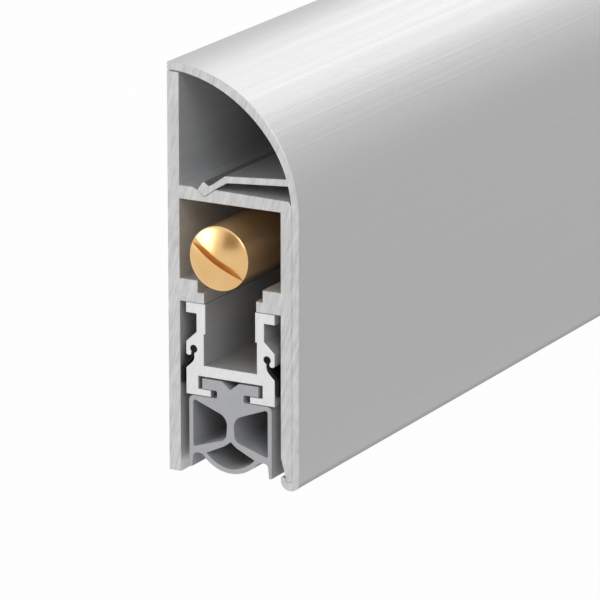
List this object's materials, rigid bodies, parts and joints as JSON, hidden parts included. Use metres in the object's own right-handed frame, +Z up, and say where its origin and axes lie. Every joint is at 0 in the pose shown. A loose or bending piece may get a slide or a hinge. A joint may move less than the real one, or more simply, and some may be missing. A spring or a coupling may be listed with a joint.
{
  "type": "automatic door bottom seal",
  "caption": "Surface-mounted door bottom seal: aluminium housing with clip-on curved cover, raised drop bar with grey hollow seal, side gaskets and a slotted brass plunger.",
  "frame": {"origin": "middle of the row of fixing holes, on the face that lies on the door", "axes": "+X along the seal away from the plunger, +Y out of the back face into the door, +Z up"},
  "size_m": [0.3383, 0.0162, 0.0463],
  "materials": {
    "mill_aluminium": "sawn ends, mill faces",
    "brushed_cover": "brushed along its length",
    "bar_aluminium": "bright mill",
    "grey_silicone": "matte",
    "black_rubber": "matte",
    "brass": "turned",
    "steel": "drawn",
    "zinc_steel": "zinc plated",
    "spring_steel": "drawn wire",
    "nylon": "moulded"
  },
  "bodies": {
    "housing_body": {"housing": "mill_aluminium", "cover_profile": "brushed_cover", "plunger_guide": "nylon", "return_spring": "spring_steel", "spring_stop": "nylon", "block_screws": "zinc_steel", "front_lever_block": "nylon", "front_pivot_pin": "steel", "rear_lever_block": "nylon", "rear_pivot_pin": "steel"},
    "push_rod": {"plunger_spindle": "steel", "spring_collar": "zinc_steel", "push_bar": "steel", "front_drive_pin": "steel", "rear_drive_pin": "steel"},
    "adjuster": {"lock_nut": "zinc_steel"},
    "plunger_body": {"plunger": "brass"},
    "drop_bar_body": {"drop_bar": "bar_aluminium", "floor_seal": "grey_silicone", "door_side_gasket": "black_rubber", "room_side_gasket": "black_rubber", "front_lift_bracket": "zinc_steel", "rear_lift_bracket": "zinc_steel", "front_bracket_rivets": "bar_aluminium", "rear_bracket_rivets": "bar_aluminium"},
    "front_lever_body": {"front_lever": "zinc_steel", "front_lift_pin": "steel"},
    "rear_lever_body": {"rear_lever": "zinc_steel", "rear_lift_pin": "steel"}
  },
  "joints": [
    {"name": "push_slide", "type": "slide", "parent": "housing_body", "child": "push_rod", "axis": [1, 0, 0], "range_m": [0, 0.007], "stiffness_N_per_m": 500, "springref_m": -0.003, "deforming": ["return_spring"]},
    {"name": "adjust_slide", "type": "slide", "parent": "push_rod", "child": "adjuster", "axis": [-1, 0, 0], "range_m": [0, 0.004]},
    {"name": "plunger_turn", "type": "hinge", "parent": "adjuster", "child": "plunger_body", "pos_m": [-0.1475, -0.0077, -0.01312], "axis": [-1, 0, 0], "range_deg": [0, 1800]},
    {"name": "seal_drop", "type": "slide", "parent": "housing_body", "child": "drop_bar_body", "axis": [0, 0, -1], "range_m": [0, 0.008]},
    {"name": "front_lever_turn", "type": "hinge", "parent": "housing_body", "child": "front_lever_body", "pos_m": [-0.0555, -0.0077, -0.02378], "axis": [0, 1, 0], "range_deg": [0, 36.4]},
    {"name": "rear_lever_turn", "type": "hinge", "parent": "housing_body", "child": "rear_lever_body", "pos_m": [0.0935, -0.0077, -0.02378], "axis": [0, 1, 0], "range_deg": [0, 36.4]}
  ],
  "couplings": [
    {"joint": "seal_drop", "follows": "push_slide", "ratio": 1.1429},
    {"joint": "front_lever_turn", "follows": "push_slide", "rad_per_m": 90.72},
    {"joint": "rear_lever_turn", "follows": "push_slide", "rad_per_m": 90.72},
    {"joint": "plunger_turn", "follows": "adjust_slide", "rad_per_m": 7854}
  ]
}
